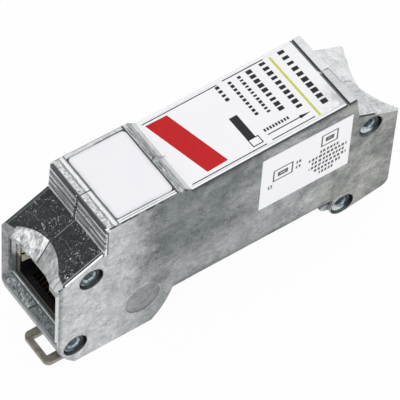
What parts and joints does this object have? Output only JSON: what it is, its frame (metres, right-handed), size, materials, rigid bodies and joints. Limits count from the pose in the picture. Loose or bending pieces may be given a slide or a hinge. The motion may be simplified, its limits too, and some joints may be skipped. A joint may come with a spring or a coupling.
{
  "type": "ethernet surge protector",
  "caption": "Slim die-cast surge protector for a mounting rail, with a shielded network socket at each end, a fixed hook and a sprung rail latch with a pull tab.",
  "frame": {"origin": "middle of the seat that rests on the mounting rail, on the parting plane between the half shells", "axes": "+X from the front socket to the rear socket, +Y from the labelled side to the plain side, +Z away from the rail"},
  "size_m": [0.08, 0.0191, 0.0375],
  "materials": {
    "zinc_near": "bare zinc die casting, mottled grey",
    "zinc_far": "bare zinc die casting, mottled grey",
    "rivet_steel": "plated steel",
    "marker_white": "smooth white write-on plate",
    "top_film": "white film with fields of colour",
    "side_film": "plain white film",
    "shield_tin": "tinned sheet",
    "insert_black": "black moulding",
    "contact_gold": "gold-plated wire",
    "finger_tin": "tinned spring strip",
    "board_green": "lacquered circuit board",
    "sheet_grey": "fibre sheet",
    "tube_ceramic": "ceramic with metal caps",
    "diode_black": "moulded package",
    "resistor_black": "chip",
    "latch_steel": "bare stamped steel",
    "spring_steel": "spring wire"
  },
  "bodies": {
    "housing": {"right_housing_half": "zinc_near", "left_housing_half": "zinc_far", "front_upper_rivet": "rivet_steel", "front_lower_rivet": "rivet_steel", "rear_upper_rivet": "rivet_steel", "rear_lower_rivet": "rivet_steel", "marker_plate": "marker_white", "top_label": "top_film", "side_label": "side_film", "front_jack_shield": "shield_tin", "front_jack_body": "insert_black", "front_jack_contacts": "contact_gold", "front_shield_springs": "finger_tin", "rear_jack_shield": "shield_tin", "rear_jack_body": "insert_black", "rear_jack_contacts": "contact_gold", "rear_shield_springs": "finger_tin", "circuit_board": "board_green", "insulating_sheet": "sheet_grey", "gas_tubes": "tube_ceramic", "clamping_diodes": "diode_black", "coupling_resistors": "resistor_black", "latch_spring": "spring_steel"},
    "latch": {"rail_latch": "latch_steel"}
  },
  "joints": [
    {"name": "latch_slide", "type": "slide", "parent": "housing", "child": "latch", "axis": [-1, 0, 0], "range_m": [0, 0.003], "stiffness_N_per_m": 1500, "springref_m": -0.002, "deforming": ["latch_spring"]}
  ]
}
